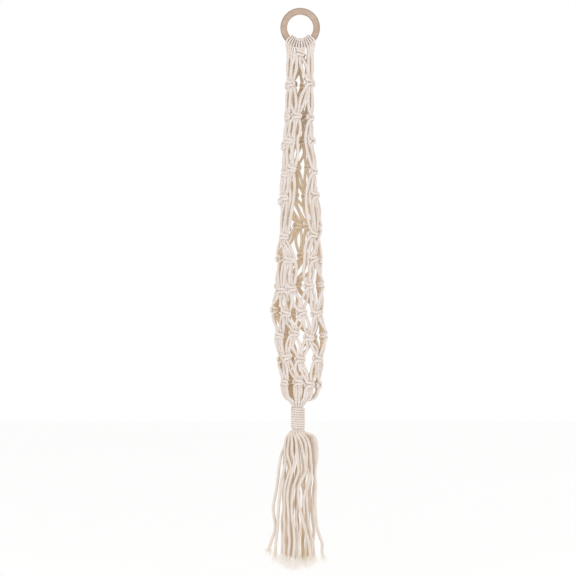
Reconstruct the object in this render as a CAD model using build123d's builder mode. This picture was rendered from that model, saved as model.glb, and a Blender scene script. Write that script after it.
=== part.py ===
from build123d import *
import math
import os

# Hanging macrame planter: a wooden ring, twelve cotton cords folded over it and knotted into a
# tubular net with a tall slit in front, a wrap that gathers the net's foot, and the loose cord
# ends below the wrap. Millimetres, +Z up, front is -Y. The origin is the hook seat: the highest
# point of the ring's hole, where a ceiling hook carries the planter.

# --- ring ---
ring_outer_d = 70.0
ring_inner_d = 46.4
ring_depth = 10.0
ring_flat = 3.0  # straight part of the ring's section, on its front and back faces

# --- cords ---
cord_d = 4.5
cord_count = 12
strand_count = 2 * cord_count
loop_clearance = 0.6  # between a cord's loop and the ring, so that the loops slide round it
loop_spread = 94.0  # degrees of the ring that the loops cover
loop_middle = 1.0  # degrees off straight down
loop_slack = 0.3  # more room inside the ring
loop_shoulder = 4.6  # a loop's corner, from its inmost point along the ring's radius
loop_bulge = 0.5  # that corner, out from the ring's side
loop_crown = 0.45  # flat top of a loop, as a share of its half width
leg_reach = 1.0  # a loop's legs end this far past the ring

# --- square knots, in cord diameters ---
filler_at = 0.57
worker_at = 1.6
bar_out = 1.05
bar_up = 0.62
bar_half = 0.95
bend_at = 1.9
bend_out = 0.3
bend_up = 0.75
knot_half_height = 1.7
arc_share = 0.45  # how much of a run the arc at each of its ends may take
run_bow = 0.35  # how far a run between two knots bows out
run_lift = 0.1  # how far above its middle a run bows most, as a share of its length

# --- net: one row of knots each: drop below the origin, sideways shift, half width, half depth,
# first strand of the first knot, then each knot's angle round the net (0 is the front, 90 the
# right side) and its extra drop ---
net_rows = [
    (70, 0.0, 20.7, 17.0, 8, [(180, 0), None, None, (355, 0)]),
    (123, -0.5, 20.0, 16.0, 2, [(95, 0), (147, 2), (215, 0), (268, 3), (310, 1), (44, -2)]),
    (180, -2.0, 20.5, 16.0, 0, [(70, 3), (138, 0), (180, 2), (222, 0), (290, 3), (350, 0)]),
    (224, -3.5, 24.0, 15.5, 2, [(84, 0), (162, 0), (208, 2), (264, 10), (316, 0)]),
    (272, -1.7, 27.0, 15.5, 0, [(66, 6), (140, -2), (184, -2), (218, 3), (290, 10), (330, 2)]),
    (321, -1.2, 31.5, 15.5, 2, [(59, 0), (160, 0), (202, -2), (252, 10), (298, 4)]),
    (378, -2.1, 36.0, 15.5, 0, [(45, 12), (112, 0), (150, -3), (178, -4), (230, 0), (312, 15)]),
    (432, -2.9, 39.0, 15.5, 2, [(42, 2), (110, 3), (164, -6), (238, 0), (328, 3)]),
    (481, -4.8, 42.5, 16.0, 0, [(29, 0), (112, -2), (181, -3), (238, 0), (315, 8), (346, 5)]),
    (527, -4.3, 45.5, 16.0, 2, [(47, 3), (118, 0), (192, 2), (245, -4), (331, 3), (9, 0)]),
    (568, -1.2, 43.5, 16.0, 0, [(22, 4), (100, 0), (150, 4), (211, 0), (304, 0), (347, -4)]),
    (610, -0.2, 38.5, 15.5, 2, [(51, 0), (118, 5), (188, 2), (244, 2), (320, -3), (0, 0)]),
    (651, 0.8, 31.0, 15.0, 0, [(27, 4), (98, 5), (160, 0), (222, 0), (290, 0), (352, 0)]),
]
# strands that no knot of a row takes pass it at these angles: {row: {strand: angle}}
free_angles = {
    0: {0: 45, 1: 57, 2: 69, 3: 81, 4: 99, 5: 111, 6: 123, 7: 135,
        12: 225, 13: 237, 14: 249, 15: 261, 16: 279, 17: 291, 18: 303, 19: 315},
    3: {22: 344, 23: 355, 0: 30, 1: 43},
    5: {22: 333, 23: 342, 0: 20, 1: 30},
    7: {22: 343, 23: 350, 0: 16, 1: 23},
}

# --- gathering wrap and the bundle that it binds ---
wrap_top = 693.5
wrap_turns = 9
wrap_pitch = 4.62
bundle_x = -4.1
bundle_r = 8.65
mouth_rise = 5.0  # height of the flare at each end of the bundle
outer_ring_r = 12.0  # two rings of strands meet each end of the bundle
inner_ring_r = 6.6
outer_nudge = 3.75  # degrees that spread the outer ring's strands evenly
twist = -4.0  # degrees that the strands turn round the bundle on their way in
strand_pitch = 15.0  # degrees between strands round the bundle
front_strand = 21.5  # place of the strand that would meet the bundle at its front
gather_in = 0.2  # the bag's foot rounds in this far, then drops to the bundle's mouth
gather_drop = 0.66
inner_gather_drop = 0.5

# --- loose ends below the wrap: one list per strand, from the wrap down, (x, y, z) ---
loose_ends = [
    [(-4, -17, -746), (1, -21, -755), (4, -21, -769), (7, -20, -783), (9, -21, -797), (10, -22, -809),
     (4, -24, -819), (-2, -24, -830), (-4, -23, -845), (-2, -23, -864), (1, -22, -882), (5, -23, -896),
     (9, -22, -911), (14, -21, -927), (17, -20, -944), (18, -20, -964)],
    [(3, -16, -746), (9, -18, -756), (11, -17, -773), (9, -18, -790), (12, -17, -804), (17, -16, -817),
     (13, -17, -831), (8, -18, -845), (5, -17, -860), (7, -18, -876), (4, -17, -896), (-1, -18, -915),
     (-4, -17, -935), (-2, -18, -953), (-4, -17, -968)],
    [(1, -9, -749), (5, -12, -763), (3, -13, -786), (7, -11, -806), (2, -12, -828), (9, -10, -853),
     (12, -11, -872), (8, -10, -899), (13, -11, -925), (9, -9, -950), (11, -10, -970)],
    [(9, -14, -745), (14, -15, -754), (18, -14, -771), (18, -13, -789), (21, -13, -804), (18, -14, -821),
     (13, -14, -835), (10, -13, -852), (12, -14, -872), (14, -13, -892), (17, -14, -915), (22, -13, -933),
     (19, -13, -950), (21, -12, -966)],
    [(17, -9, -743), (27, -9, -748), (30, -8, -765), (30, -7, -785), (27, -6, -801), (26, -5, -817),
     (28, -6, -837), (26, -5, -857), (27, -6, -876), (28, -5, -895), (30, -6, -911), (35, -5, -925),
     (40, -5, -938), (38, -4, -950), (41, -4, -962)],
    [(6, -3, -748), (12, -2, -759), (17, -1, -775), (15, 1, -797), (19, 0, -818), (15, 2, -843),
     (18, 1, -869), (14, 3, -890), (17, 2, -915), (13, 1, -944), (15, 2, -967)],
    [(14, -2, -744), (22, -2, -752), (25, -1, -769), (24, 0, -787), (23, -1, -803), (27, 0, -821),
     (24, 1, -840), (22, 0, -860), (21, 1, -876), (22, 0, -896), (25, 1, -915), (22, 2, -935),
     (24, 1, -952), (23, 2, -963)],
    [(13, 7, -746), (20, 9, -757), (22, 11, -776), (17, 12, -795), (20, 13, -822), (16, 12, -846),
     (18, 14, -866), (14, 13, -894), (17, 14, -923), (14, 13, -948), (15, 14, -967)],
    [(3, 6, -748), (7, 8, -765), (4, 9, -785), (9, 8, -812), (5, 10, -838), (8, 9, -862),
     (3, 10, -889), (6, 9, -913), (3, 11, -940), (6, 10, -969)],
    [(8, 12, -746), (10, 18, -759), (7, 20, -783), (11, 18, -805), (6, 20, -833), (9, 19, -855),
     (5, 21, -884), (8, 20, -911), (4, 21, -941), (6, 20, -964)],
    [(2, 16, -746), (1, 20, -760), (-4, 21, -781), (0, 20, -804), (-5, 21, -829), (-1, 20, -856),
     (-6, 21, -880), (-3, 20, -907), (-7, 21, -934), (-4, 21, -966)],
    [(-3, 9, -749), (-6, 12, -766), (-2, 12, -792), (-8, 11, -814), (-5, 13, -843), (-9, 12, -867),
     (-4, 13, -892), (-7, 12, -919), (-3, 13, -946), (-5, 13, -972)],
    [(-6, 16, -746), (-12, 19, -758), (-10, 19, -780), (-15, 18, -802), (-11, 19, -830), (-15, 18, -851),
     (-12, 20, -879), (-17, 18, -903), (-13, 19, -931), (-14, 19, -963)],
    [(-13, 15, -746), (-20, 15, -757), (-22, 16, -779), (-19, 14, -801), (-24, 15, -827), (-20, 14, -853),
     (-24, 15, -877), (-21, 14, -905), (-26, 15, -932), (-24, 14, -966)],
    [(-10, 8, -748), (-15, 8, -762), (-17, 9, -786), (-13, 7, -811), (-18, 8, -835), (-15, 7, -864),
     (-20, 9, -888), (-16, 7, -912), (-19, 9, -939), (-17, 8, -970)],
    [(-18, 11, -745), (-25, 10, -756), (-27, 9, -777), (-29, 8, -799), (-26, 7, -824), (-31, 8, -849),
     (-28, 7, -874), (-33, 8, -898), (-30, 8, -927), (-32, 8, -964)],
    [(-19, 7, -745), (-25, 5, -756), (-29, 2, -769), (-34, 1, -780), (-38, 0, -804), (-41, -1, -836),
     (-46, -2, -860), (-49, -2, -880), (-43, -3, -902), (-45, -4, -916), (-50, -4, -928), (-53, -4, -939),
     (-56, -3, -949)],
    [(-14, 2, -749), (-20, 1, -764), (-22, -1, -787), (-19, -3, -808), (-24, -2, -834), (-21, -4, -859),
     (-25, -3, -883), (-21, -5, -911), (-25, -4, -940), (-23, -5, -970)],
    [(-22, 1, -745), (-26, -2, -755), (-27, -4, -770), (-26, -6, -784), (-25, -7, -792), (-28, -8, -802),
     (-31, -8, -814), (-34, -8, -829), (-36, -9, -847), (-38, -8, -868), (-39, -9, -886), (-40, -8, -906),
     (-42, -9, -923), (-44, -9, -945), (-44, -9, -962)],
    [(-19, -5, -745), (-20, -9, -756), (-23, -12, -773), (-21, -13, -787), (-15, -15, -800), (-19, -14, -811),
     (-23, -14, -822), (-27, -13, -837), (-28, -14, -856), (-27, -13, -872), (-29, -14, -890), (-27, -13, -907),
     (-30, -14, -927), (-28, -13, -945), (-30, -14, -963)],
    [(-13, -6, -749), (-17, -8, -766), (-14, -10, -787), (-18, -9, -812), (-14, -10, -836), (-19, -9, -861),
     (-16, -11, -886), (-20, -10, -910), (-16, -11, -938), (-19, -10, -972)],
    [(-15, -11, -746), (-14, -15, -758), (-15, -17, -774), (-10, -18, -786), (-12, -18, -801), (-16, -18, -817),
     (-21, -17, -835), (-23, -18, -856), (-21, -18, -876), (-20, -18, -896), (-21, -19, -913), (-18, -18, -931),
     (-21, -18, -949), (-20, -18, -967)],
    [(-9, -15, -746), (-6, -19, -758), (-5, -21, -777), (-4, -21, -793), (-2, -20, -807), (-7, -21, -821),
     (-12, -21, -835), (-14, -21, -852), (-15, -20, -872), (-14, -21, -892), (-11, -21, -911), (-10, -20, -935),
     (-12, -21, -954), (-14, -21, -968)],
    [(-5, -10, -749), (-1, -14, -764), (-3, -15, -788), (1, -14, -812), (-6, -14, -838), (-3, -16, -862),
     (-8, -15, -888), (-4, -15, -914), (-9, -16, -940), (-6, -15, -973)],
]

ring_outer_r = ring_outer_d / 2
ring_inner_r = ring_inner_d / 2
ring_mid_r = (ring_outer_r + ring_inner_r) / 2
ring_width = ring_outer_r - ring_inner_r
ring_z = -ring_inner_r
cord_r = cord_d / 2
wrap_height = wrap_turns * wrap_pitch
wrap_bottom = wrap_top + wrap_height
up = Vector(0, 0, 1)


def on_net(row, angle, drop=0.0):
    """The net's point at an angle round a row, with its sideways and outward directions there."""
    z, shift, half_width, half_depth = row[:4]
    s = math.sin(math.radians(angle))
    c = math.cos(math.radians(angle))
    at = Vector(shift + half_width * s, -half_depth * c, -z - drop)
    sideways = Vector(half_width * c, half_depth * s, 0).normalized()
    outward = Vector(half_depth * s, -half_width * c, 0).normalized()
    return at, sideways, outward


def knot_pass(place):
    """A strand's way through a square knot, in cord diameters: (sideways, outward, up) points.
    Places 0 and 3 are the workers, 1 and 2 the fillers that they are tied round."""
    top = knot_half_height
    if place in (1, 2):
        side = filler_at if place == 2 else -filler_at
        return [(side, 0, top), (side, 0, -top)]
    left = [
        (-worker_at, 0, top),
        (-bar_half, bar_out, bar_up),
        (bar_half, bar_out, bar_up),
        (bend_at, bend_out, bend_up),
        (bend_at, bend_out, -bend_up),
        (bar_half, bar_out, -bar_up),
        (-bar_half, bar_out, -bar_up),
        (-worker_at, 0, -top),
    ]
    return left if place == 0 else [(-u, -w, v) for u, w, v in left]


def strand_in_row(strand, index):
    """A strand's points at one row of the net: its pass of a knot, or one point where it runs free."""
    row = net_rows[index]
    for count, knot in enumerate(row[5]):
        place = (strand - row[4] - 4 * count) % strand_count
        if knot and place < 4:
            at, sideways, outward = on_net(row, *knot)
            return [
                at + sideways * (u * cord_d) + outward * (w * cord_d) + up * (v * cord_d)
                for u, w, v in knot_pass(place)
            ]
    return [on_net(row, free_angles[index][strand])[0]]


def bundle_point(strand, z):
    """Where a strand meets an end of the bound bundle."""
    nudge = (-outer_nudge, outer_nudge, 0)[strand % 3]
    angle = math.radians(strand_pitch * (strand - front_strand) + twist + nudge)
    r = inner_ring_r if strand % 3 == 2 else outer_ring_r
    return Vector(bundle_x + r * math.sin(angle), -r * math.cos(angle), z)


def strand_stations(strand):
    """A strand from its first row to the bundle, as one list of points for each row."""
    stations = []
    for index in range(len(net_rows)):
        stations.append(strand_in_row(strand, index))
    for index in range(len(net_rows) - 1):
        a = stations[index][-1]
        b = stations[index + 1][0]
        middle = (a + b) * 0.5
        away = Vector(middle.X - net_rows[index][1], middle.Y, 0).normalized()
        lift = up * (run_lift * (b - a).length)
        stations[index].append(middle + away * (run_bow * cord_d) + lift)
    foot = bundle_point(strand, -wrap_top + mouth_rise)
    last = stations[-1][-1]
    drop = inner_gather_drop if strand % 3 == 2 else gather_drop
    stations[-1].append(Vector(last.X + (foot.X - last.X) * gather_in,
                               last.Y + (foot.Y - last.Y) * gather_in,
                               last.Z + (foot.Z - last.Z) * drop))
    stations.append([foot + up * cord_d, foot])
    return stations


def loop_points(cord):
    """A cord's fold over the ring, from the front leg up, over the ring's inside and down the back."""
    angle = math.radians(loop_middle + loop_spread * (cord / (cord_count - 1) - 0.5))
    out = Vector(math.sin(angle), 0, -math.cos(angle))
    centre = Vector(0, 0, ring_z)
    side = ring_depth / 2 + cord_r + loop_clearance
    inside = ring_inner_r - cord_r - loop_clearance - loop_slack
    half = [
        (ring_outer_r + leg_reach, side),
        (inside + loop_shoulder, side + loop_bulge),
        (inside, loop_crown * side),
    ]
    front = [centre + out * r + Vector(0, -y, 0) for r, y in half]
    back = [centre + out * r + Vector(0, y, 0) for r, y in reversed(half)]
    return front + back


def tube_spans(stations):
    """The tube along a route. It is cut in the middle of each run between two stations, where its
    spans meet face to face. Each arc is as large as its two runs allow."""
    points = [p for station in stations for p in station]
    radii = {}
    for k in range(1, len(points) - 1):
        before = points[k] - points[k - 1]
        after = points[k + 1] - points[k]
        half_turn = math.radians(before.get_angle(after)) / 2
        radii[k] = arc_share * min(before.length, after.length) / math.tan(half_turn)
    spans = []
    first = 0
    for number, station in enumerate(stations):
        last = first + len(station) - 1
        start = [] if number == 0 else [(points[first - 1] + points[first]) * 0.5]
        end = [] if number == len(stations) - 1 else [(points[last] + points[last + 1]) * 0.5]
        corners = range(first + (number == 0), last + (number < len(stations) - 1))
        span_radii = [radii[k] for k in corners]
        with BuildPart() as span:
            with BuildLine() as line:
                path = FilletPolyline(*start, *points[first:last + 1], *end, radius=span_radii)
            with BuildSketch(Plane(origin=path @ 0, z_dir=path % 0)):
                Circle(cord_r)
            sweep()
        spans.append((span.part, path.length * math.pi * cord_r**2))
        first = last + 1
    return spans, [radii[k] for k in sorted(radii)]


def save(part, name):
    part.label = name
    export_step(part, f"parts/{name}.step")


def make_ring():
    with BuildPart() as ring:
        with BuildSketch(Plane.XZ) as section:
            with Locations((ring_mid_r, 0)):
                RectangleRounded(ring_width, ring_depth, (ring_depth - ring_flat) / 2)
        revolve(axis=Axis.Z)
    return ring.part.rotate(Axis.X, 90).moved(Location((0, 0, ring_z)))


def make_cord(cord):
    front = (16 + cord) % strand_count
    back = 15 - cord
    up_front = [station[::-1] for station in reversed(strand_stations(front))]
    spans, radii = tube_spans(up_front + [loop_points(cord)] + strand_stations(back))
    drawn = sum(part.volume for part, _ in spans)
    wanted = sum(volume for _, volume in spans)
    print(f"cord {cord + 1}: {len(spans)} spans, volume {drawn:.0f}, section x length {wanted:.0f},"
          f" least radius {min(radii):.2f}, length {wanted / (math.pi * cord_r**2):.0f}")
    return Compound(children=[part for part, _ in spans])


def make_wrap():
    with BuildPart() as wrap:
        with BuildSketch(Plane.XZ) as section:
            with Locations((bundle_r + cord_r / 2, -wrap_height / 2)):
                Rectangle(cord_r, wrap_height - cord_d)
            for turn in range(wrap_turns):
                with Locations((bundle_r + cord_r, -(turn + 0.5) * wrap_pitch)):
                    Circle(cord_r)
        revolve(axis=Axis.Z)
    return wrap.part.moved(Location((bundle_x, 0, -wrap_top)))


def make_bundle():
    mouth_r = outer_ring_r + cord_r
    with BuildPart() as bundle:
        with BuildSketch(Plane.XZ) as section:
            with BuildLine() as line:
                Polyline(
                    (0, mouth_rise),
                    (mouth_r, mouth_rise),
                    (bundle_r, -cord_r),
                    (bundle_r, cord_r - wrap_height),
                    (mouth_r, -wrap_height - mouth_rise),
                    (0, -wrap_height - mouth_rise),
                    close=True,
                )
            make_face()
        revolve(axis=Axis.Z)
    return bundle.part.moved(Location((bundle_x, 0, -wrap_top)))


def make_loose_end(strand):
    foot = bundle_point(strand, -wrap_bottom - mouth_rise)
    turned = (strand + 3) % strand_count
    points = [foot] + [Vector(*p) for p in loose_ends[turned]]
    spans, radii = tube_spans([points])
    part, wanted = spans[0]
    print(f"loose end {strand + 1}: volume {part.volume:.0f}, section x length {wanted:.0f},"
          f" radii {[round(r, 1) for r in radii]}, length {wanted / (math.pi * cord_r**2):.0f}")
    return part


os.makedirs("parts", exist_ok=True)
save(make_ring(), "wooden_ring")
for cord in range(cord_count):
    save(make_cord(cord), f"cord_{cord + 1:02d}")
save(make_wrap(), "gathering_wrap")
save(make_bundle(), "bound_bundle")
for strand in range(strand_count):
    save(make_loose_end(strand), f"loose_end_{strand + 1:02d}")
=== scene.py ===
import math
import random

import bpy
import numpy as np
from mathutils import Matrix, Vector


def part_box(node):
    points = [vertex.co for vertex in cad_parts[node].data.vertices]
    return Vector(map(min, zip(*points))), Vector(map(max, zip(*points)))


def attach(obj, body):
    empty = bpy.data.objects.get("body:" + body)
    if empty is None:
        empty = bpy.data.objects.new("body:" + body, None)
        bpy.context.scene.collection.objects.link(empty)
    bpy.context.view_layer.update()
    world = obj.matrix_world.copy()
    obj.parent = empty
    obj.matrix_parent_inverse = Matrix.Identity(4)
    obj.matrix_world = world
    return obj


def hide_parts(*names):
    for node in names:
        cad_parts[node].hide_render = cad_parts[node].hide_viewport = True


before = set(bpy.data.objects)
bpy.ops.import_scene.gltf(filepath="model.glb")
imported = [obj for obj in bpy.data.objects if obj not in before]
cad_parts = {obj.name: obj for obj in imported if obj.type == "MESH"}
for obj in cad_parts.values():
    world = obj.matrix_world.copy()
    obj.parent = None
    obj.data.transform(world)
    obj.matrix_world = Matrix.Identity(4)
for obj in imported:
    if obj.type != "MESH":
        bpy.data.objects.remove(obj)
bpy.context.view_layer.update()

# Looks of a hanging macrame planter: twelve twisted cotton cords over a wooden ring, knotted into
# a net, a wrap round the net's foot, and twenty-four loose ends with frayed tips. Metres, +Z up,
# front is -Y. The origin is the hook seat, at the top of the ring's hole.

# --- sizes ---
cord_d = 0.0045
cord_r = cord_d / 2
cord_count = 12
strand_count = 2 * cord_count
loop_clearance = 0.0006
loop_spread = 94.0  # degrees of the ring that the loops cover
loop_middle = 1.0  # degrees round from the ring's lowest point
loop_slack = 0.0003  # more room inside the ring
loop_shoulder = 0.0046  # a loop's corner, from its inmost point along the ring's radius
loop_bulge = 0.0005  # that corner, out from the ring's side
loop_crown = 0.45  # flat top of a loop, as a share of its half width
leg_reach = 0.001  # a loop's legs end this far past the ring
loop_press = 0.34  # how much the loops are pressed sideways inside the ring
loop_r = (0.0019, 0.00235)  # the rope is pulled thinner where it goes round the ring
full_width_at = 1.6  # it is as thick as elsewhere at this many of the ring's outer radii
first_front = 16  # cord 1 takes this strand at the front,
last_back = 15  # and this one at the back
wrap_cord_r = 0.00214
wrap_start = 150  # degrees round from the front
turn_points = 14  # points of the wrap's route for each turn
turn_sway = 0.0002  # the turns lie this unevenly
tail_reach = 0.5  # the wrap's two tails tuck in to this share of its radius
tail_turn = 0.5  # radians that the lower tail runs on round the bundle
tuck = 0.0015  # how far tails and strands run on past a face that hides their ends
bound_squeeze = 0.72  # the strands inside the wrap are this much thinner
bound_depth = 0.003  # they are squeezed from here down below the wrap's rim
wrap_turns = 9
bundle_r = 0.00865
first_loose = 3  # the first strand goes on as this loose end
outer_ring_r = 0.012  # two rings of strands meet each end of the bundle
inner_ring_r = 0.0066
outer_nudge = 3.75  # degrees that the outer strands of each three stand apart
twist = -4.0
strand_pitch = 15.0  # degrees between strands round the bundle
front_strand = 21.5  # place of the strand that would meet the bundle at its front
gather_in = 0.2  # the bag's foot rounds in this far, then drops to the bundle's mouth
gather_drop = 0.66
inner_gather_drop = 0.5

# --- materials ---
rim_shade_width = 0.003  # painted shade darkens the ring this close to its outer edge
yarns_round = 26.0  # how finely the yarns divide the cord's girth,
yarns_along = 2600.0  # its length,
yarn_waver = 220.0  # and how soon they change along it
# painted shade of the net: a tan tint on surfaces that look into it
outward_bias = 0.15  # surfaces that look this far into the net are still cream
inward_gain = 1.1
low_body_shade = 0.22  # painted shade: the net's lower body is tinted this much towards tan
low_shade_rows = (0.45, 0.65)  # from and to these drops
tassel_outside_shade = 0.18  # painted shade on the tassel's outside
tassel_drops = (0.735, 0.78, 0.9, 0.98)  # its half width and half depth at these drops
tassel_half_width = (0.0145, 0.026, 0.033, 0.034)
tassel_half_depth = (0.0145, 0.019, 0.0208, 0.022)
tassel_shell = 0.85  # the painted shade rises inside this share of them

# --- square knots, in cord diameters ---
filler_at = 0.57
worker_at = 1.45
bar_out = 1.05
bar_up = 0.62
bar_half = 0.85
bend_at = 1.72
bend_out = 0.3
bend_up = 0.75
knot_half_height = 1.7
run_apart = (0.6, 1.4)  # how far the strands of a run bow apart, least and most
run_sway = 0.35  # and how far each one strays to a side
back_sway = 1.0  # the same, at the back, so that the back shows through fewer of the front gaps
longest_bow = 1.4  # no run bows aside further than this
route_seed = 335  # for the runs' bows and the knots' lean and place
bow_spread = (0.1, 0.7)  # how far a run between two knots bows out, least and most
run_lift = 0.1  # a run bows most this far above or below its middle, as a share of its length
bar_tilt = 0.14  # the knots' bars slope this much, first one way and then the other
knot_turn = 0.26  # how far a knot may lean, in radians
knot_shift = 0.3  # and how far it may sit from its place
back_shift = 1.0  # the same, for the knots at the back

# --- rope ---
rope_lobes = 3
lobe_sides = 6  # corners of the section for each lobe
soft_r = 0.0028  # the cord's fluffy surface, a little outside its wound core
lobe_depth = 0.21  # of the radius
lay_length = 0.0155  # one turn of the twist
rope_step = 0.0016
fray_fibres = 190  # in each frayed tip
fray_r = 0.00018
fray_start = (0.001, 0.012)  # how far behind the cord's cut end its fibres come loose
fray_from_middle = (0.1, 0.95)  # where in the section, as a share of its radius
fray_spread = (0.05, 1.15)  # how much a fibre heads outwards
fray_length = (0.008, 0.019)
fray_pieces = 5  # bends in a fibre
fray_taper = 0.6
fray_curl = 0.16
fray_droop = 0.05
lobe_power = 0.75  # below 1, the lobes are plump and their grooves narrow
wobble_every = 0.012  # the rope's thickness varies over this length
wobble_size = 0.022
tip_from = (0, 0.003, 0.016)  # a loose end swells a little, and then narrows, towards its tip
tip_width = (0.85, 1.05, 1.0)

# --- net: one row of knots each: drop below the origin, sideways shift, half width, half depth,
# first strand of the first knot, then each knot's angle round the net (0 is the front, 90 the
# right side) and its extra drop ---
net_rows = [
    (0.07, 0.0, 0.0207, 0.017, 8, [(180, 0), None, None, (355, 0)]),
    (0.123, -0.0005, 0.02, 0.016, 2, [(95, 0), (147, 0.002), (215, 0),
     (268, 0.003), (310, 0.001), (44, -0.002)]),
    (0.18, -0.002, 0.0205, 0.016, 0, [(70, 0.003), (138, 0), (180, 0.002),
     (222, 0), (290, 0.003), (350, 0)]),
    (0.224, -0.0035, 0.024, 0.0155, 2, [(84, 0), (162, 0), (208, 0.002), (264, 0.01), (316, 0)]),
    (0.272, -0.0017, 0.027, 0.0155, 0, [(66, 0.006), (140, -0.002), (184, -0.002),
     (218, 0.003), (290, 0.01), (330, 0.002)]),
    (0.321, -0.0012, 0.0315, 0.0155, 2, [(59, 0), (160, 0), (202, -0.002), (252, 0.01), (298, 0.004)]),
    (0.378, -0.0021, 0.036, 0.0155, 0, [(45, 0.012), (112, 0), (150, -0.003),
     (178, -0.004), (230, 0), (312, 0.015)]),
    (0.432, -0.0029, 0.039, 0.0155, 2, [(42, 0.002), (110, 0.003), (164, -0.006),
     (238, 0), (328, 0.003)]),
    (0.481, -0.0048, 0.0425, 0.016, 0, [(29, 0), (112, -0.002), (181, -0.003),
     (238, 0), (315, 0.008), (346, 0.005)]),
    (0.527, -0.0043, 0.0455, 0.016, 2, [(47, 0.003), (118, 0), (192, 0.002),
     (245, -0.004), (331, 0.003), (9, 0)]),
    (0.568, -0.0012, 0.0435, 0.016, 0, [(22, 0.004), (100, 0), (150, 0.004),
     (211, 0), (304, 0), (347, -0.004)]),
    (0.61, -0.0002, 0.0385, 0.0155, 2, [(51, 0), (118, 0.005), (188, 0.002),
     (244, 0.002), (320, -0.003), (0, 0)]),
    (0.651, 0.0008, 0.031, 0.015, 0, [(27, 0.004), (98, 0.005), (160, 0),
     (222, 0), (290, 0), (352, 0)]),
]
# strands that no knot of a row takes pass it at these angles: {row: {strand: angle}}
free_angles = {
    0: {0: 45, 1: 57, 2: 69, 3: 81, 4: 99, 5: 111, 6: 123, 7: 135,
        12: 225, 13: 237, 14: 249, 15: 261, 16: 279, 17: 291, 18: 303, 19: 315},
    3: {22: 344, 23: 355, 0: 30, 1: 43},
    5: {22: 333, 23: 342, 0: 20, 1: 30},
    7: {22: 343, 23: 350, 0: 16, 1: 23},
}

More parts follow.
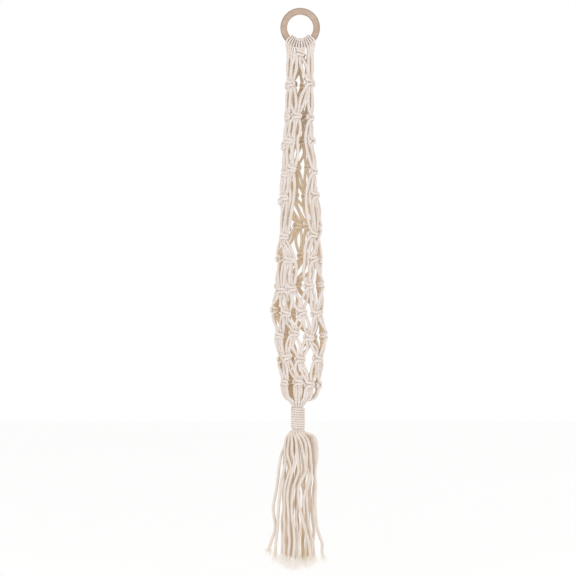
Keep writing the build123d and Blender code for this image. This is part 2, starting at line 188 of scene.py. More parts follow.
# --- loose ends below the wrap: one list per strand, from the wrap down ---
loose_ends = [
    [(-0.004, -0.017, -0.746), (0.001, -0.021, -0.755), (0.004, -0.021, -0.769), (0.007, -0.02, -0.783),
     (0.009, -0.021, -0.797), (0.01, -0.022, -0.809), (0.004, -0.024, -0.819), (-0.002, -0.024, -0.83),
     (-0.004, -0.023, -0.845), (-0.002, -0.023, -0.864), (0.001, -0.022, -0.882), (0.005, -0.023, -0.896),
     (0.009, -0.022, -0.911), (0.014, -0.021, -0.927), (0.017, -0.02, -0.944), (0.018, -0.02, -0.964)],
    [(0.003, -0.016, -0.746), (0.009, -0.018, -0.756), (0.011, -0.017, -0.773), (0.009, -0.018, -0.79),
     (0.012, -0.017, -0.804), (0.017, -0.016, -0.817), (0.013, -0.017, -0.831), (0.008, -0.018, -0.845),
     (0.005, -0.017, -0.86), (0.007, -0.018, -0.876), (0.004, -0.017, -0.896), (-0.001, -0.018, -0.915),
     (-0.004, -0.017, -0.935), (-0.002, -0.018, -0.953), (-0.004, -0.017, -0.968)],
    [(0.001, -0.009, -0.749), (0.005, -0.012, -0.763), (0.003, -0.013, -0.786), (0.007, -0.011, -0.806),
     (0.002, -0.012, -0.828), (0.009, -0.01, -0.853), (0.012, -0.011, -0.872), (0.008, -0.01, -0.899),
     (0.013, -0.011, -0.925), (0.009, -0.009, -0.95), (0.011, -0.01, -0.97)],
    [(0.009, -0.014, -0.745), (0.014, -0.015, -0.754), (0.018, -0.014, -0.771), (0.018, -0.013, -0.789),
     (0.021, -0.013, -0.804), (0.018, -0.014, -0.821), (0.013, -0.014, -0.835), (0.01, -0.013, -0.852),
     (0.012, -0.014, -0.872), (0.014, -0.013, -0.892), (0.017, -0.014, -0.915), (0.022, -0.013, -0.933),
     (0.019, -0.013, -0.95), (0.021, -0.012, -0.966)],
    [(0.017, -0.009, -0.743), (0.027, -0.009, -0.748), (0.03, -0.008, -0.765), (0.03, -0.007, -0.785),
     (0.027, -0.006, -0.801), (0.026, -0.005, -0.817), (0.028, -0.006, -0.837), (0.026, -0.005, -0.857),
     (0.027, -0.006, -0.876), (0.028, -0.005, -0.895), (0.03, -0.006, -0.911), (0.035, -0.005, -0.925),
     (0.04, -0.005, -0.938), (0.038, -0.004, -0.95), (0.041, -0.004, -0.962)],
    [(0.006, -0.003, -0.748), (0.012, -0.002, -0.759), (0.017, -0.001, -0.775), (0.015, 0.001, -0.797),
     (0.019, 0.0, -0.818), (0.015, 0.002, -0.843), (0.018, 0.001, -0.869), (0.014, 0.003, -0.89),
     (0.017, 0.002, -0.915), (0.013, 0.001, -0.944), (0.015, 0.002, -0.967)],
    [(0.014, -0.002, -0.744), (0.022, -0.002, -0.752), (0.025, -0.001, -0.769), (0.024, 0.0, -0.787),
     (0.023, -0.001, -0.803), (0.027, 0.0, -0.821), (0.024, 0.001, -0.84), (0.022, 0.0, -0.86),
     (0.021, 0.001, -0.876), (0.022, 0.0, -0.896), (0.025, 0.001, -0.915), (0.022, 0.002, -0.935),
     (0.024, 0.001, -0.952), (0.023, 0.002, -0.963)],
    [(0.013, 0.007, -0.746), (0.02, 0.009, -0.757), (0.022, 0.011, -0.776), (0.017, 0.012, -0.795),
     (0.02, 0.013, -0.822), (0.016, 0.012, -0.846), (0.018, 0.014, -0.866), (0.014, 0.013, -0.894),
     (0.017, 0.014, -0.923), (0.014, 0.013, -0.948), (0.015, 0.014, -0.967)],
    [(0.003, 0.006, -0.748), (0.007, 0.008, -0.765), (0.004, 0.009, -0.785), (0.009, 0.008, -0.812),
     (0.005, 0.01, -0.838), (0.008, 0.009, -0.862), (0.003, 0.01, -0.889), (0.006, 0.009, -0.913),
     (0.003, 0.011, -0.94), (0.006, 0.01, -0.969)],
    [(0.008, 0.012, -0.746), (0.01, 0.018, -0.759), (0.007, 0.02, -0.783), (0.011, 0.018, -0.805),
     (0.006, 0.02, -0.833), (0.009, 0.019, -0.855), (0.005, 0.021, -0.884), (0.008, 0.02, -0.911),
     (0.004, 0.021, -0.941), (0.006, 0.02, -0.964)],
    [(0.002, 0.016, -0.746), (0.001, 0.02, -0.76), (-0.004, 0.021, -0.781), (0.0, 0.02, -0.804),
     (-0.005, 0.021, -0.829), (-0.001, 0.02, -0.856), (-0.006, 0.021, -0.88), (-0.003, 0.02, -0.907),
     (-0.007, 0.021, -0.934), (-0.004, 0.021, -0.966)],
    [(-0.003, 0.009, -0.749), (-0.006, 0.012, -0.766), (-0.002, 0.012, -0.792), (-0.008, 0.011, -0.814),
     (-0.005, 0.013, -0.843), (-0.009, 0.012, -0.867), (-0.004, 0.013, -0.892), (-0.007, 0.012, -0.919),
     (-0.003, 0.013, -0.946), (-0.005, 0.013, -0.972)],
    [(-0.006, 0.016, -0.746), (-0.012, 0.019, -0.758), (-0.01, 0.019, -0.78), (-0.015, 0.018, -0.802),
     (-0.011, 0.019, -0.83), (-0.015, 0.018, -0.851), (-0.012, 0.02, -0.879), (-0.017, 0.018, -0.903),
     (-0.013, 0.019, -0.931), (-0.014, 0.019, -0.963)],
    [(-0.013, 0.015, -0.746), (-0.02, 0.015, -0.757), (-0.022, 0.016, -0.779), (-0.019, 0.014, -0.801),
     (-0.024, 0.015, -0.827), (-0.02, 0.014, -0.853), (-0.024, 0.015, -0.877), (-0.021, 0.014, -0.905),
     (-0.026, 0.015, -0.932), (-0.024, 0.014, -0.966)],
    [(-0.01, 0.008, -0.748), (-0.015, 0.008, -0.762), (-0.017, 0.009, -0.786), (-0.013, 0.007, -0.811),
     (-0.018, 0.008, -0.835), (-0.015, 0.007, -0.864), (-0.02, 0.009, -0.888), (-0.016, 0.007, -0.912),
     (-0.019, 0.009, -0.939), (-0.017, 0.008, -0.97)],
    [(-0.018, 0.011, -0.745), (-0.025, 0.01, -0.756), (-0.027, 0.009, -0.777), (-0.029, 0.008, -0.799),
     (-0.026, 0.007, -0.824), (-0.031, 0.008, -0.849), (-0.028, 0.007, -0.874), (-0.033, 0.008, -0.898),
     (-0.03, 0.008, -0.927), (-0.032, 0.008, -0.964)],
    [(-0.019, 0.007, -0.745), (-0.025, 0.005, -0.756), (-0.029, 0.002, -0.769), (-0.034, 0.001, -0.78),
     (-0.038, 0.0, -0.804), (-0.041, -0.001, -0.836), (-0.046, -0.002, -0.86), (-0.049, -0.002, -0.88),
     (-0.043, -0.003, -0.902), (-0.045, -0.004, -0.916), (-0.05, -0.004, -0.928), (-0.053, -0.004, -0.939),
     (-0.056, -0.003, -0.949)],
    [(-0.014, 0.002, -0.749), (-0.02, 0.001, -0.764), (-0.022, -0.001, -0.787), (-0.019, -0.003, -0.808),
     (-0.024, -0.002, -0.834), (-0.021, -0.004, -0.859), (-0.025, -0.003, -0.883), (-0.021, -0.005, -0.911),
     (-0.025, -0.004, -0.94), (-0.023, -0.005, -0.97)],
    [(-0.022, 0.001, -0.745), (-0.026, -0.002, -0.755), (-0.027, -0.004, -0.77), (-0.026, -0.006, -0.784),
     (-0.025, -0.007, -0.792), (-0.028, -0.008, -0.802), (-0.031, -0.008, -0.814), (-0.034, -0.008, -0.829),
     (-0.036, -0.009, -0.847), (-0.038, -0.008, -0.868), (-0.039, -0.009, -0.886), (-0.04, -0.008, -0.906),
     (-0.042, -0.009, -0.923), (-0.044, -0.009, -0.945), (-0.044, -0.009, -0.962)],
    [(-0.019, -0.005, -0.745), (-0.02, -0.009, -0.756), (-0.023, -0.012, -0.773), (-0.021, -0.013, -0.787),
     (-0.015, -0.015, -0.8), (-0.019, -0.014, -0.811), (-0.023, -0.014, -0.822), (-0.027, -0.013, -0.837),
     (-0.028, -0.014, -0.856), (-0.027, -0.013, -0.872), (-0.029, -0.014, -0.89), (-0.027, -0.013, -0.907),
     (-0.03, -0.014, -0.927), (-0.028, -0.013, -0.945), (-0.03, -0.014, -0.963)],
    [(-0.013, -0.006, -0.749), (-0.017, -0.008, -0.766), (-0.014, -0.01, -0.787), (-0.018, -0.009, -0.812),
     (-0.014, -0.01, -0.836), (-0.019, -0.009, -0.861), (-0.016, -0.011, -0.886), (-0.02, -0.01, -0.91),
     (-0.016, -0.011, -0.938), (-0.019, -0.01, -0.972)],
    [(-0.015, -0.011, -0.746), (-0.014, -0.015, -0.758), (-0.015, -0.017, -0.774), (-0.01, -0.018, -0.786),
     (-0.012, -0.018, -0.801), (-0.016, -0.018, -0.817), (-0.021, -0.017, -0.835), (-0.023, -0.018, -0.856),
     (-0.021, -0.018, -0.876), (-0.02, -0.018, -0.896), (-0.021, -0.019, -0.913), (-0.018, -0.018, -0.931),
     (-0.021, -0.018, -0.949), (-0.02, -0.018, -0.967)],
    [(-0.009, -0.015, -0.746), (-0.006, -0.019, -0.758), (-0.005, -0.021, -0.777), (-0.004, -0.021, -0.793),
     (-0.002, -0.02, -0.807), (-0.007, -0.021, -0.821), (-0.012, -0.021, -0.835), (-0.014, -0.021, -0.852),
     (-0.015, -0.02, -0.872), (-0.014, -0.021, -0.892), (-0.011, -0.021, -0.911), (-0.01, -0.02, -0.935),
     (-0.012, -0.021, -0.954), (-0.014, -0.021, -0.968)],
    [(-0.005, -0.01, -0.749), (-0.001, -0.014, -0.764), (-0.003, -0.015, -0.788), (0.001, -0.014, -0.812),
     (-0.006, -0.014, -0.838), (-0.003, -0.016, -0.862), (-0.008, -0.015, -0.888), (-0.004, -0.015, -0.914),
     (-0.009, -0.016, -0.94), (-0.006, -0.015, -0.973)],
]

# --- places of the CAD parts ---
ring_low, ring_high = (Vector(p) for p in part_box("wooden_ring"))
wrap_low, wrap_high = (Vector(p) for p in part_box("gathering_wrap"))
bundle_low, bundle_high = (Vector(p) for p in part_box("bound_bundle"))
ring_outer_r = (ring_high.x - ring_low.x) / 2
ring_depth = ring_high.y - ring_low.y
ring_z = (ring_high.z + ring_low.z) / 2
ring_inner_r = -ring_z
bundle_x = (wrap_low.x + wrap_high.x) / 2
wrap_height = wrap_high.z - wrap_low.z
wrap_pitch = wrap_height / wrap_turns
UP = Vector((0, 0, 1))

random.seed(7)
noise = np.random.default_rng(7)

# --- camera ---
sensor_width = 36.0
view_width = 1.0207
view_x = -0.0216
view_z = -0.4844
view_distance = 3.5

scene = bpy.context.scene
camera_data = bpy.data.cameras.new("camera")
camera = bpy.data.objects.new("camera", camera_data)
scene.collection.objects.link(camera)
camera_data.sensor_width = sensor_width
camera_data.lens = sensor_width * view_distance / view_width
camera.location = (view_x, -view_distance, view_z)
camera.rotation_euler = (math.radians(90), 0, 0)
scene.camera = camera


# --- materials ---
def new_material(name):
    material = bpy.data.materials.new(name)
    material.use_nodes = True
    nodes = material.node_tree.nodes
    nodes.clear()
    output = nodes.new("ShaderNodeOutputMaterial")
    shader = nodes.new("ShaderNodeBsdfPrincipled")
    material.node_tree.links.new(shader.outputs["BSDF"], output.inputs["Surface"])
    return material, nodes, material.node_tree.links, shader


def math_node(nodes, links, operation, *values):
    node = nodes.new("ShaderNodeMath")
    node.operation = operation
    for socket, value in zip(node.inputs, values):
        if isinstance(value, (int, float)):
            socket.default_value = value
        else:
            links.new(value, socket)
    return node.outputs[0]


def mix_colours(nodes, links, factor, a, b, blend="MIX"):
    node = nodes.new("ShaderNodeMix")
    node.data_type = "RGBA"
    node.blend_type = blend
    for socket, value in ((node.inputs[0], factor), (node.inputs[6], a), (node.inputs[7], b)):
        if isinstance(value, (int, float, tuple)):
            socket.default_value = value
        else:
            links.new(value, socket)
    return node.outputs[2]


def ramp(nodes, links, value, low, high):
    """value mapped so that low gives 0 and high gives 1, smoothly."""
    node = nodes.new("ShaderNodeMapRange")
    node.interpolation_type = "SMOOTHSTEP"
    links.new(value, node.inputs["Value"])
    node.inputs["From Min"].default_value = low
    node.inputs["From Max"].default_value = high
    return node.outputs["Result"]


def cotton_material(name, cream, shade_tan, bump, painted_glow):
    """Soft twisted cotton: cream outside, with painted shade in tan where a surface looks into the net,
    painted shade in the grooves between the rope's lobes, yarns that run against its twist, a fuzzy
    sheen, and a faint painted glow, an emission that lifts the shadows."""
    material, nodes, links, shader = new_material(name)
    painted_shade = nodes.new("ShaderNodeAttribute")
    painted_shade.attribute_name = "painted_shade"
    groove_shade = nodes.new("ShaderNodeAttribute")
    groove_shade.attribute_name = "groove_shade"
    place = nodes.new("ShaderNodeTexCoord").outputs["Object"]

    uv = nodes.new("ShaderNodeUVMap")
    uv.uv_map = "rope"
    split = nodes.new("ShaderNodeSeparateXYZ")
    links.new(uv.outputs["UV"], split.inputs[0])
    around = math_node(nodes, links, "MULTIPLY", split.outputs["X"], yarns_round)
    along = math_node(nodes, links, "MULTIPLY", split.outputs["Y"], yarns_along)
    slanted = math_node(nodes, links, "ADD", around, along)
    slow = math_node(nodes, links, "MULTIPLY", split.outputs["Y"], yarn_waver)
    yarn_at = nodes.new("ShaderNodeCombineXYZ")
    links.new(slanted, yarn_at.inputs["X"])
    links.new(slow, yarn_at.inputs["Y"])
    yarns = nodes.new("ShaderNodeTexNoise")
    yarns.inputs["Scale"].default_value = 1.0
    yarns.inputs["Detail"].default_value = 3.0
    yarns.inputs["Roughness"].default_value = 0.65
    links.new(yarn_at.outputs[0], yarns.inputs["Vector"])

    mottle = nodes.new("ShaderNodeTexNoise")
    mottle.inputs["Scale"].default_value = 60.0
    mottle.inputs["Detail"].default_value = 4.0
    links.new(place, mottle.inputs["Vector"])

    # painted shade: tan is mixed in where a surface looks into the net
    colour = mix_colours(nodes, links, painted_shade.outputs["Fac"], cream, shade_tan)
    warmth = ramp(nodes, links, mottle.outputs["Fac"], 0.38, 0.68)
    colour = mix_colours(nodes, links, math_node(nodes, links, "MULTIPLY", warmth, 0.35), colour,
                         (0.86, 0.76, 0.62, 1), "MULTIPLY")
    streak = ramp(nodes, links, yarns.outputs["Fac"], 0.62, 0.36)
    colour = mix_colours(nodes, links, math_node(nodes, links, "MULTIPLY", streak, 0.16), colour,
                         (0.72, 0.62, 0.52, 1), "MULTIPLY")
    # painted shade: the grooves between the rope's lobes are darkened
    colour = mix_colours(nodes, links, math_node(nodes, links, "MULTIPLY", groove_shade.outputs["Fac"], 0.2),
                         colour, (0.62, 0.50, 0.38, 1), "MULTIPLY")
    links.new(colour, shader.inputs["Base Color"])
    # painted glow: the cotton emits its own colour faintly to lift its shadows
    links.new(colour, shader.inputs["Emission Color"])
    shader.inputs["Emission Strength"].default_value = painted_glow

    rough = math_node(nodes, links, "MULTIPLY_ADD", yarns.outputs["Fac"], 0.15, 0.8)
    links.new(rough, shader.inputs["Roughness"])
    shader.inputs["Specular IOR Level"].default_value = 0.25
    shader.inputs["Sheen Weight"].default_value = 0.45
    shader.inputs["Sheen Roughness"].default_value = 0.45
    shader.inputs["Sheen Tint"].default_value = (1.0, 0.96, 0.9, 1)

    raise_yarns = nodes.new("ShaderNodeBump")
    raise_yarns.inputs["Strength"].default_value = bump
    raise_yarns.inputs["Distance"].default_value = 0.0004
    links.new(yarns.outputs["Fac"], raise_yarns.inputs["Height"])
    links.new(raise_yarns.outputs["Normal"], shader.inputs["Normal"])
    return material


def wood_material():
    """Sanded unvarnished beech: straight grain across the whole ring, pores, pale patches, and
    painted shade on the rim, darker outwards."""
    material, nodes, links, shader = new_material("ring_wood")
    place = nodes.new("ShaderNodeTexCoord").outputs["Object"]

    def grain_noise(scale, detail, distortion=0.0):
        stretch = nodes.new("ShaderNodeMapping")
        stretch.inputs["Scale"].default_value = scale
        links.new(place, stretch.inputs["Vector"])
        node = nodes.new("ShaderNodeTexNoise")
        node.inputs["Scale"].default_value = 1.0
        node.inputs["Detail"].default_value = detail
        node.inputs["Distortion"].default_value = distortion
        links.new(stretch.outputs["Vector"], node.inputs["Vector"])
        return node.outputs["Fac"]

    bands = grain_noise((22.0, 180.0, 150.0), 3.0, 0.8)
    fine = grain_noise((90.0, 2600.0, 2600.0), 4.0)
    flecks = grain_noise((260.0, 2400.0, 900.0), 2.0)
    patches = grain_noise((45.0, 45.0, 45.0), 2.0)
    colour = mix_colours(nodes, links, ramp(nodes, links, bands, 0.35, 0.68),
                         (0.51, 0.385, 0.30, 1), (0.43, 0.31, 0.23, 1))
    colour = mix_colours(nodes, links, ramp(nodes, links, fine, 0.52, 0.72), colour,
                         (0.37, 0.26, 0.185, 1))
    pores = math_node(nodes, links, "MULTIPLY", ramp(nodes, links, flecks, 0.60, 0.72), 0.5)
    colour = mix_colours(nodes, links, pores, colour, (0.30, 0.17, 0.10, 1))
    pale = math_node(nodes, links, "MULTIPLY", ramp(nodes, links, patches, 0.35, 0.7), 0.3)
    colour = mix_colours(nodes, links, pale, colour, (0.58, 0.455, 0.365, 1))
    # painted shade: the rounded outer rim is darkened towards its edge
    off_centre = nodes.new("ShaderNodeVectorMath")
    off_centre.operation = "MULTIPLY_ADD"
    off_centre.inputs[1].default_value = (1, 0, 1)
    off_centre.inputs[2].default_value = (0, 0, -ring_z)
    links.new(place, off_centre.inputs[0])
    reach = nodes.new("ShaderNodeVectorMath")
    reach.operation = "LENGTH"
    links.new(off_centre.outputs["Vector"], reach.inputs[0])
    rim = ramp(nodes, links, reach.outputs["Value"], ring_outer_r - rim_shade_width, ring_outer_r)
    colour = mix_colours(nodes, links, math_node(nodes, links, "MULTIPLY", rim, 0.75), colour,
                         (0.52, 0.50, 0.50, 1), "MULTIPLY")
    links.new(colour, shader.inputs["Base Color"])
    rough = math_node(nodes, links, "MULTIPLY_ADD", fine, 0.25, 0.42)
    links.new(rough, shader.inputs["Roughness"])
    shader.inputs["Specular IOR Level"].default_value = 0.4
    bump = nodes.new("ShaderNodeBump")
    bump.inputs["Strength"].default_value = 0.35
    bump.inputs["Distance"].default_value = 0.0003
    links.new(fine, bump.inputs["Height"])
    links.new(bump.outputs["Normal"], shader.inputs["Normal"])
    return material


CREAM = (0.80, 0.738, 0.706, 1)
# SHADE_TAN is the colour of the painted shade where cotton looks into the net
SHADE_TAN = (0.86, 0.70, 0.49, 1)
# the last argument is the strength of a painted glow that lifts the cotton's shadows
cotton = cotton_material("cotton_cord", CREAM, SHADE_TAN, 0.55, 0.07)
# the fluff's second colour is its painted shade, used inside the tassel
fluff = cotton_material("cotton_fluff", (0.93, 0.91, 0.89, 1), (0.92, 0.875, 0.81, 1), 0.1, 0.22)


# --- routes ---
def on_net(row, angle, drop=0.0):
    """The net's point at an angle round a row, with its sideways and outward directions there."""
    z, shift, half_width, half_depth = row[:4]
    s = math.sin(math.radians(angle))
    c = math.cos(math.radians(angle))
    at = Vector((shift + half_width * s, -half_depth * c, -z - drop))
    sideways = Vector((half_width * c, half_depth * s, 0)).normalized()
    outward = Vector((half_depth * s, -half_width * c, 0)).normalized()
    return at, sideways, outward


def knot_pass(place):
    """A strand's way through a square knot, in cord diameters: (sideways, outward, up) points.
    Places 0 and 3 are the workers, 1 and 2 the fillers that they are tied round."""
    top = knot_half_height
    if place in (1, 2):
        side = filler_at if place == 2 else -filler_at
        return [(side, 0, top), (side, 0, -top)]
    left = [
        (-worker_at, 0, top),
        (-bar_half, bar_out, bar_up + bar_tilt),
        (bar_half, bar_out, bar_up - bar_tilt),
        (bend_at, bend_out, bend_up),
        (bend_at, bend_out, -bend_up),
        (bar_half, bar_out, -bar_up + bar_tilt),
        (-bar_half, bar_out, -bar_up - bar_tilt),
        (-worker_at, 0, -top),
    ]
    return left if place == 0 else [(-u, -w, v) for u, w, v in left]


def strand_in_row(strand, index):
    """A strand's points at one row of the net: its pass of a knot, or one point where it runs free."""
    row = net_rows[index]
    for count, knot in enumerate(row[5]):
        place = (strand - row[4] - 4 * count) % strand_count
        if knot and place < 4:
            angle, drop = knot
            chance = np.random.default_rng((route_seed, index, count))
            lean = chance.uniform(-knot_turn, knot_turn)
            shift = back_shift if abs(angle - 180) < 90 else knot_shift
            per_degree = (on_net(row, angle + 1)[0] - on_net(row, angle)[0]).length
            angle += chance.uniform(-shift, shift) * cord_d / per_degree
            at, sideways, outward = on_net(row, angle, drop)
            return [
                at
                + sideways * ((u * math.cos(lean) - v * math.sin(lean)) * cord_d)
                + outward * (w * cord_d)
                + UP * ((u * math.sin(lean) + v * math.cos(lean)) * cord_d)
                for u, w, v in knot_pass(place)
            ]
    return [on_net(row, free_angles[index][strand])[0]]


def bundle_point(strand, z, reach=1.0):
    """Where a strand meets an end of the bound bundle, or with less reach, passes inside it."""
    nudge = (-outer_nudge, outer_nudge, 0)[strand % 3]
    angle = math.radians(strand_pitch * (strand - front_strand) + twist + nudge)
    r = reach * (inner_ring_r if strand % 3 == 2 else outer_ring_r)
    return Vector((bundle_x + r * math.sin(angle), -r * math.cos(angle), z))


def strand_route(strand):
    """A strand from its first row down to the bundle."""
    stations = [strand_in_row(strand, index) for index in range(len(net_rows))]
    chance = np.random.default_rng(route_seed + strand)
    points = []
    for index, station in enumerate(stations):
        points += station
        if index + 1 < len(stations):
            a = station[-1]
            b = stations[index + 1][0]
            middle = (a + b) * 0.5
            away = Vector((middle.x - net_rows[index][1], middle.y, 0)).normalized()
            apart = chance.uniform(*run_apart) * (1 if strand % 2 else -1)
            sway = back_sway if middle.y > 0 else run_sway
            apart = apart + chance.uniform(-sway, sway)
            apart = max(-longest_bow, min(longest_bow, apart))
            aside = Vector((-away.y, away.x, 0)) * apart
            out = away * chance.uniform(*bow_spread)
            lift = UP * (chance.uniform(-run_lift, run_lift) * (b - a).length)
            points.append(middle + (out + aside) * cord_d + lift)
    foot = bundle_point(strand, bundle_high.z)
    last = points[-1]
    drop = inner_gather_drop if strand % 3 == 2 else gather_drop
    points.append(Vector((last.x + (foot.x - last.x) * gather_in,
                          last.y + (foot.y - last.y) * gather_in,
                          last.z + (foot.z - last.z) * drop)))
    return points + [foot + UP * cord_d, foot]


def loop_angle(cord):
    return math.radians(loop_middle + loop_spread * (cord / (cord_count - 1) - 0.5))


def loop_route(cord):
    """A cord's fold over the ring, from the front leg up, over the ring's inside and down the back."""
    angle = loop_angle(cord)
    out = Vector((math.sin(angle), 0, -math.cos(angle)))
    centre = Vector((0, 0, ring_z))
    side = ring_depth / 2 + cord_r + loop_clearance
    inside = ring_inner_r - cord_r - loop_clearance - loop_slack
    half = [
        (ring_outer_r + leg_reach, side),
        (inside + loop_shoulder, side + loop_bulge),
        (inside, loop_crown * side),
    ]
    front = [centre + out * r + Vector((0, -y, 0)) for r, y in half]
    back = [centre + out * r + Vector((0, y, 0)) for r, y in reversed(half)]
    return front + back


def distance_along(line):
    return np.concatenate(([0], np.cumsum(np.linalg.norm(np.diff(line, axis=0), axis=1))))


def smooth_line(points):
    """The NURBS line of these control points, as points rope_step apart."""
    curve = bpy.data.curves.new("route", "CURVE")
    curve.dimensions = "3D"
    curve.resolution_u = 16
    spline = curve.splines.new("NURBS")
    spline.points.add(len(points) - 1)
    for point, at in zip(spline.points, points):
        point.co = (*at, 1)
    spline.order_u = 3
    spline.use_endpoint_u = True
    holder = bpy.data.objects.new("route", curve)
    scene.collection.objects.link(holder)
    mesh = bpy.data.meshes.new_from_object(holder)
    line = np.empty(3 * len(mesh.vertices))
    mesh.vertices.foreach_get("co", line)
    line = line.reshape(-1, 3)
    bpy.data.objects.remove(holder)
    bpy.data.curves.remove(curve)
    bpy.data.meshes.remove(mesh)
    lengths = np.linalg.norm(np.diff(line, axis=0), axis=1)
    line = line[np.concatenate(([True], lengths > 1e-9))]
    at = distance_along(line)
    count = max(3, round(at[-1] / rope_step) + 1)
    wanted = np.linspace(0, at[-1], count)
    return np.stack([np.interp(wanted, at, line[:, k]) for k in range(3)], axis=1)


# --- rope ---
def carried_frames(line):
    """Two directions across the line, at each point, that don't spin about it."""
    ahead = np.gradient(line, axis=0)
    ahead /= np.linalg.norm(ahead, axis=1)[:, None]
    across = np.empty_like(line)
    start = np.cross(ahead[0], (0.3, 1.0, 0.2))
    across[0] = start / np.linalg.norm(start)
    for k in range(1, len(line)):
        side = across[k - 1] - ahead[k] * np.dot(across[k - 1], ahead[k])
        across[k] = side / np.linalg.norm(side)
    return across, np.cross(ahead, across)


def net_painted_shade(points, normals):
    """Painted shade: 0 where a surface looks out of the net or is near the ring, 1 where it looks into
    the net. The lower body gets a little painted shade all round."""
    rows = np.array([row[:4] for row in net_rows])
    shift, width, thick = (np.interp(-points[:, 2], rows[:, 0], rows[:, k]) for k in (1, 2, 3))
    outward = np.stack([(points[:, 0] - shift) / width**2, points[:, 1] / thick**2], axis=1)
    size = np.linalg.norm(outward, axis=1) + 1e-9
    facing = (normals[:, :2] * outward).sum(axis=1) / size
    below_ring = np.clip((-0.045 - points[:, 2]) / 0.03, 0, 1)
    low_down = np.interp(-points[:, 2], low_shade_rows, (0.0, low_body_shade))
    return np.clip(low_down - outward_bias - inward_gain * facing, 0, 1) * below_ring


def tassel_painted_shade(points, normals):
    """Painted shade in the tassel: the tassel's outside amount on its outside, rising to 1 in its middle.
    """
    half_width = np.interp(-points[:, 2], tassel_drops, tassel_half_width)
    half_depth = np.interp(-points[:, 2], tassel_drops, tassel_half_depth)
    from_axis = np.hypot((points[:, 0] - bundle_x) / half_width, points[:, 1] / half_depth)
    return np.clip(tassel_outside_shade + 2 * (tassel_shell - from_axis), tassel_outside_shade, 1)


def no_depth(points, normals):
    return np.zeros(len(points))


def cotton_object(name, vertices, faces, uvs, values, material):
    """A smooth mesh of cotton, with its rope map and its values at each point for the material."""
    mesh = bpy.data.meshes.new(name)
    mesh.from_pydata(vertices, [], faces)
    layer = mesh.uv_layers.new(name="rope")
    layer.data.foreach_set("uv", uvs)
    for label, at_points in values.items():
        attribute = mesh.attributes.new(label, "FLOAT", "POINT")
        attribute.data.foreach_set("value", at_points)
    mesh.polygons.foreach_set("use_smooth", [True] * len(mesh.polygons))
    mesh.materials.append(material)
    made = bpy.data.objects.new(name, mesh)
    scene.collection.objects.link(made)
    return made


def rope(name, line, painted_shade, width, squeeze=None, turn=0.0):
    """A twisted rope along a line. width is its radius at each point, and squeeze, given the
    points' offsets from the line, returns them changed where the rope is pressed."""
    across, third = carried_frames(line)
    count = len(line)
    sides = rope_lobes * lobe_sides
    run = distance_along(line)
    swells = max(4, int(run[-1] / wobble_every))
    wobble = np.interp(run, np.linspace(0, run[-1], swells), noise.normal(0, wobble_size, swells))
    radius = width * (1 + wobble)
    corner = np.arange(sides) / sides
    lobe = np.abs(np.cos(math.pi * rope_lobes * corner)) ** lobe_power
    section = 1 - lobe_depth * (1 - lobe)
    angle = 2 * math.pi * (corner[None, :] + run[:, None] / lay_length) + turn
    spoke = (np.cos(angle)[..., None] * across[:, None] + np.sin(angle)[..., None] * third[:, None])
    offset = spoke * (radius[:, None] * section[None, :])[..., None]
    if squeeze:
        offset = squeeze(line, offset)
    points = line[:, None] + offset
    flat = points.reshape(-1, 3)
    vertices = np.concatenate((flat, line[:1], line[-1:]))
    # painted shade at each point: how strongly tan is mixed in
    painted_shades = painted_shade(flat, spoke.reshape(-1, 3))
    # painted shade in the grooves between the lobes
    groove_shades = np.tile(1 - lobe, count)

    faces = []
    uvs = []
    for k in range(count - 1):
        low = k * sides
        for j in range(sides):
            n = (j + 1) % sides
            faces.append((low + j, low + n, low + sides + n, low + sides + j))
            u0 = j / sides
            u1 = (j + 1) / sides
            uvs += [(u0, run[k]), (u1, run[k]), (u1, run[k + 1]), (u0, run[k + 1])]
    last = (count - 1) * sides
    for j in range(sides):
        n = (j + 1) % sides
        faces.append((n, j, count * sides))
        uvs += [(n / sides, run[0]), (j / sides, run[0]), (0.5, run[0])]
        faces.append((last + j, last + n, count * sides + 1))
        uvs += [(j / sides, run[-1]), (n / sides, run[-1]), (0.5, run[-1])]
    values = {
        "painted_shade": np.concatenate((painted_shades, painted_shades[:1], painted_shades[-1:])),
        "groove_shade": np.concatenate((groove_shades, groove_shades[:1], groove_shades[-1:])),
    }
    return cotton_object(name, vertices.tolist(), faces, np.array(uvs).ravel(), values, cotton)


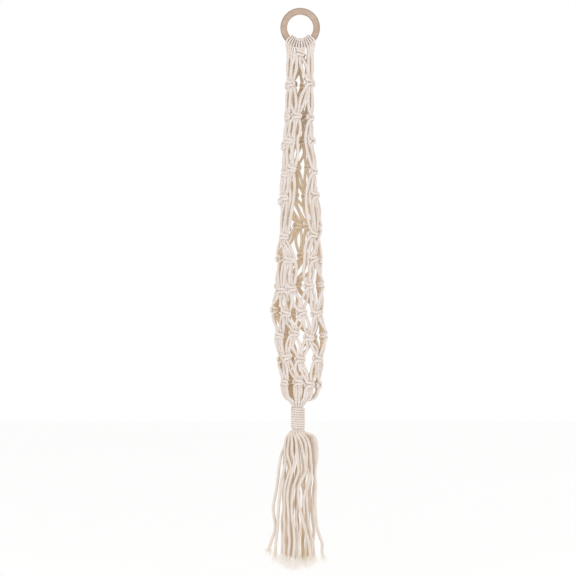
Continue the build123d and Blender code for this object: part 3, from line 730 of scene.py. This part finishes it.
# --- loose ends: free cords, with frayed tips ---
def frayed_tip(name, line, painted_shade):
    """Fibres that spread from a cord's cut end and droop."""
    tip = Vector(line[-1])
    ahead = (tip - Vector(line[-6])).normalized()
    across = ahead.cross(Vector((0.2, 1, 0.1))).normalized()
    third = ahead.cross(across)
    vertices = []
    faces = []
    for _ in range(fray_fibres):
        angle = random.uniform(0, 2 * math.pi)
        away = across * math.cos(angle) + third * math.sin(angle)
        place = tip - ahead * random.uniform(*fray_start)
        place += away * (cord_r * random.uniform(*fray_from_middle))
        heading = (ahead + away * random.uniform(*fray_spread)).normalized()
        piece_length = random.uniform(*fray_length) / fray_pieces
        curl = Vector((random.uniform(-1, 1), random.uniform(-1, 1), random.uniform(-1, 0.2)))
        first = len(vertices)
        for k in range(fray_pieces + 1):
            r = fray_r * (1 - fray_taper * k / fray_pieces)
            side = heading.cross(UP if abs(heading.z) < 0.9 else Vector((0, 1, 0))).normalized()
            other = heading.cross(side)
            for j in range(3):
                turn = 2 * math.pi * j / 3
                vertices.append(place + side * (r * math.cos(turn)) + other * (r * math.sin(turn)))
            place = place + heading * piece_length
            heading = (heading + curl * fray_curl + Vector((0, 0, -fray_droop))).normalized()
        for k in range(fray_pieces):
            low = first + 3 * k
            for j in range(3):
                n = (j + 1) % 3
                faces.append((low + j, low + n, low + 3 + n, low + 3 + j))
        faces.append((first + 2, first + 1, first))
        top = first + 3 * fray_pieces
        faces.append((top, top + 1, top + 2))
    points = np.array([tuple(v) for v in vertices])
    corners = np.array([corner for face in faces for corner in face])
    uvs = np.stack((corners % 3 / 3, -points[corners, 2]), axis=1).ravel()
    # painted shade for the fibres, and no groove shade
    values = {"painted_shade": painted_shade(points, points), "groove_shade": np.zeros(len(points))}
    return cotton_object(name, points.tolist(), faces, uvs, values, fluff)


for strand in range(strand_count):
    foot = bundle_point(strand, bundle_low.z)
    line = smooth_line([foot] + [Vector(p) for p in loose_ends[(strand + first_loose) % strand_count]])
    run = distance_along(line)
    length = float(run[-1])
    width = soft_r * np.interp(length - run, tip_from, tip_width)
    end = rope(f"loose_cord_{strand + 1:02d}", line, tassel_painted_shade, width, turn=strand)
    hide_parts(f"loose_end_{strand + 1:02d}")
    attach(end, "hanger")
    tip = frayed_tip(f"frayed_tip_{strand + 1:02d}", line, tassel_painted_shade)
    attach(tip, "hanger")

# --- net cords: each runs up a front strand, over the ring and down a back strand ---
def press_in_ring(cord):
    """How a cord's rope is pressed sideways where the loops crowd together inside the ring."""
    angle = loop_angle(cord)
    along_ring = np.array((math.cos(angle), 0, math.sin(angle)))

    def squeeze(line, offset):
        from_centre = np.hypot(line[:, 0], line[:, 2] - ring_z)
        pressed = np.interp(from_centre, (ring_inner_r, ring_outer_r), (loop_press, 0.0))
        sideways = (offset * along_ring).sum(axis=2, keepdims=True)
        return offset - along_ring * sideways * pressed[:, None, None]

    return squeeze


for cord in range(cord_count):
    front = (first_front + cord) % strand_count
    back = last_back - cord
    line = smooth_line(list(reversed(strand_route(front))) + loop_route(cord) + strand_route(back))
    from_ring = np.hypot(line[:, 0], line[:, 2] - ring_z)
    width = np.interp(from_ring, (ring_outer_r, full_width_at * ring_outer_r),
                      (random.uniform(*loop_r), soft_r))
    net_cord = rope(f"net_cord_{cord + 1:02d}", line, net_painted_shade, width, press_in_ring(cord), turn=cord)
    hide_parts(f"cord_{cord + 1:02d}")
    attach(net_cord, "hanger")


# --- gathering wrap: one cord, wound in close turns round the bundle ---
def round_bundle(r, angle, z):
    return Vector((bundle_x + r * math.sin(angle), -r * math.cos(angle), z))


wrap_r = bundle_r + cord_r
start_angle = math.radians(wrap_start)
wrap_points = wrap_turns * turn_points
route = [round_bundle(tail_reach * wrap_r, start_angle, wrap_high.z - tuck)]
for k in range(wrap_points + 1):
    angle = start_angle + 2 * math.pi * k / turn_points
    z = wrap_high.z - cord_r - (wrap_height - cord_d) * k / wrap_points
    route.append(round_bundle(wrap_r + turn_sway * math.sin(1.7 * k), angle, z))
route.append(round_bundle(tail_reach * wrap_r, angle + tail_turn, wrap_low.z + tuck))
line = smooth_line(route)
wrap = rope("wrap_cord", line, no_depth, np.full(len(line), wrap_cord_r))
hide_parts("gathering_wrap")
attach(wrap, "hanger")

# --- the strands inside the wrap, squeezed together ---
tight = (bundle_r - 0.7 * cord_r) / outer_ring_r
bound_parts = []
for strand in range(strand_count):
    line = smooth_line([
        bundle_point(strand, bundle_high.z + tuck),
        bundle_point(strand, bundle_high.z),
        bundle_point(strand, wrap_high.z - bound_depth, tight),
        bundle_point(strand, (wrap_high.z + wrap_low.z) / 2, tight),
        bundle_point(strand, wrap_low.z + bound_depth, tight),
        bundle_point(strand, bundle_low.z),
        bundle_point(strand, bundle_low.z - tuck),
    ])
    down = (bundle_high.z - line[:, 2]) / (bundle_high.z - bundle_low.z)
    width = cord_r * np.interp(down, (0, 0.15, 0.85, 1), (1.0, bound_squeeze, bound_squeeze, 1.0))
    name = "bound_part" if bound_parts else "bound_strands"
    bound_parts.append(rope(name, line, no_depth, width))
with bpy.context.temp_override(active_object=bound_parts[0], object=bound_parts[0],
                               selected_objects=bound_parts,
                               selected_editable_objects=bound_parts):
    bpy.ops.object.join()
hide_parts("bound_bundle")
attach(bound_parts[0], "hanger")

# --- ring ---
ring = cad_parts["wooden_ring"]
wood = wood_material()
for place in ring.material_slots:
    place.material = wood

# --- floor and light ---
floor_z = -1.06
floor_mesh = bpy.data.meshes.new("floor")
floor_mesh.from_pydata([(-4, -4, floor_z), (4, -4, floor_z), (4, 5, floor_z), (-4, 5, floor_z)], [],
                       [(0, 1, 2, 3)])
floor = bpy.data.objects.new("floor", floor_mesh)
scene.collection.objects.link(floor)
pale, nodes, links, shader = new_material("floor_pale")
speckle = nodes.new("ShaderNodeTexNoise")
speckle.inputs["Scale"].default_value = 3.0
tone = mix_colours(nodes, links, speckle.outputs["Fac"], (0.96, 0.96, 0.955, 1), (0.99, 0.99, 0.985, 1))
links.new(tone, shader.inputs["Base Color"])
shader.inputs["Roughness"].default_value = 0.9
floor_mesh.materials.append(pale)

world = bpy.data.worlds.new("studio")
world.use_nodes = True
world.node_tree.nodes["Background"].inputs["Color"].default_value = (1.0, 1.0, 1.0, 1)
world.node_tree.nodes["Background"].inputs["Strength"].default_value = 1.0
scene.world = world
scene.view_settings.view_transform = "Standard"


def area_light(name, at, towards, size, power):
    data = bpy.data.lights.new(name, "AREA")
    data.shape = "SQUARE"
    data.size = size
    data.energy = power
    light = bpy.data.objects.new(name, data)
    light.location = at
    light.rotation_euler = (Vector(towards) - Vector(at)).to_track_quat("-Z", "Y").to_euler()
    scene.collection.objects.link(light)


area_light("key", (-1.1, -2.9, 0.3), (0, 0, -0.5), 1.5, 11)
area_light("fill", (1.6, -2.6, -0.3), (0, 0, -0.5), 1.8, 7)
